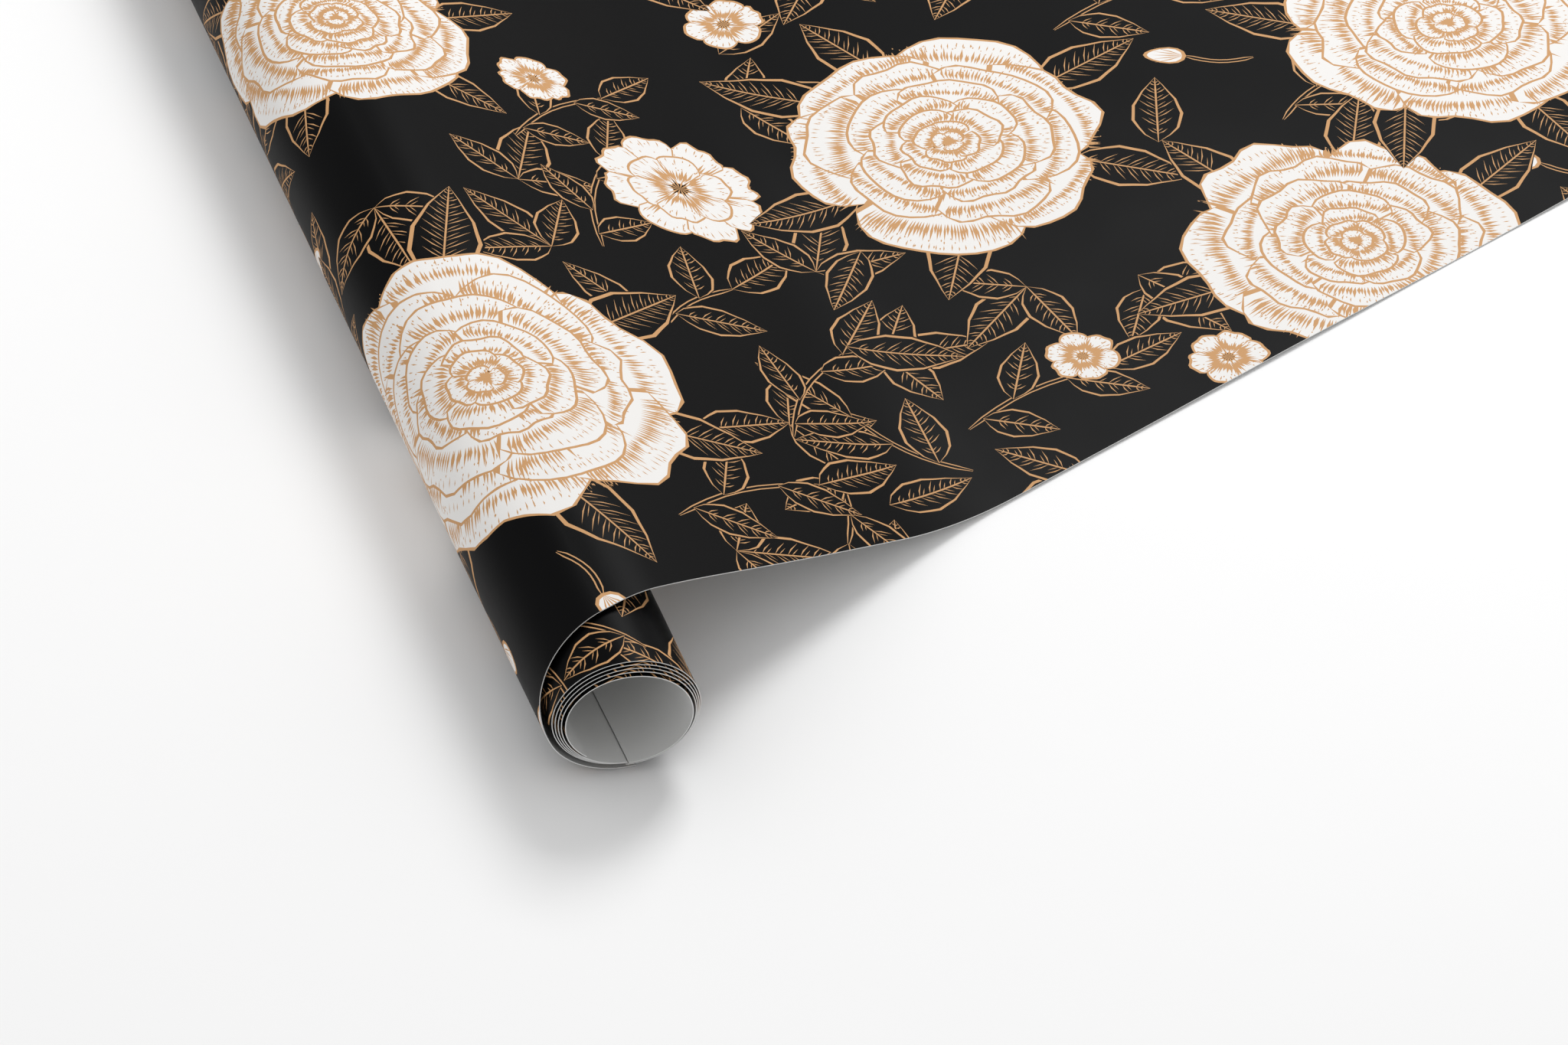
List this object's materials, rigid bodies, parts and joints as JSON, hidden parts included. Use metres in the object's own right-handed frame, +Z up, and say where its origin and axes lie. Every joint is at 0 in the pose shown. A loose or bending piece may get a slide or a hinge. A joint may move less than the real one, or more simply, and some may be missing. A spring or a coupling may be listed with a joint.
{
  "type": "wrapping paper roll",
  "caption": "Coreless roll of floral printed wrapping paper, partly unrolled, with its free sheet running down from the coil to lie flat.",
  "frame": {"origin": "on the coil's axis, half way along the coil", "axes": "+Y along the coil's axis away from the end whose rim the paper's edge is set back from, +X towards the free sheet, +Z up from the surface that coil and sheet lie on"},
  "size_m": [0.5875, 0.6802, 0.045],
  "materials": {
    "printed_paper": "satin coated, black ground with white and gold print",
    "paper_back": "plain uncoated white back"
  },
  "bodies": {
    "wrap": {"outer_wrap": "printed_paper", "rising_sheet": "printed_paper"},
    "sheet": {"flat_sheet": "printed_paper"},
    "loose_end": {"loose_end": "printed_paper"},
    "coil": {"turn_2": "printed_paper"},
    "turn_3": {"turn_3": "printed_paper"},
    "turn_4": {"turn_4": "printed_paper"},
    "turn_5": {"turn_5": "printed_paper"},
    "inner_turn": {"inner_turn": "paper_back"}
  },
  "joints": [
    {"name": "sheet_pull", "type": "slide", "parent": "wrap", "child": "sheet", "axis": [0.9511, 0.309, 0], "range_m": [0, 0.0738], "deforming": ["rising_sheet"]},
    {"name": "end_lift", "type": "hinge", "parent": "sheet", "child": "loose_end", "pos_m": [0.2902, 0, -0.02235], "axis": [0, -1, 0], "range_deg": [0, 60]},
    {"name": "coil_turn", "type": "hinge", "parent": "wrap", "child": "coil", "pos_m": [0, 0, 0], "axis": [0, 1, 0], "range_deg": [0, 180]},
    {"name": "telescope_3", "type": "slide", "parent": "coil", "child": "turn_3", "axis": [0, -1, 0], "range_m": [0, 0.012]},
    {"name": "telescope_4", "type": "slide", "parent": "turn_3", "child": "turn_4", "axis": [0, -1, 0], "range_m": [0, 0.012]},
    {"name": "telescope_5", "type": "slide", "parent": "turn_4", "child": "turn_5", "axis": [0, -1, 0], "range_m": [0, 0.012]},
    {"name": "telescope_inner", "type": "slide", "parent": "turn_5", "child": "inner_turn", "axis": [0, -1, 0], "range_m": [0, 0.012]}
  ],
  "couplings": [
    {"joint": "coil_turn", "follows": "sheet_pull", "rad_per_m": 42.553},
    {"joint": "telescope_4", "follows": "telescope_3", "ratio": 1},
    {"joint": "telescope_5", "follows": "telescope_3", "ratio": 1},
    {"joint": "telescope_inner", "follows": "telescope_3", "ratio": 1}
  ]
}
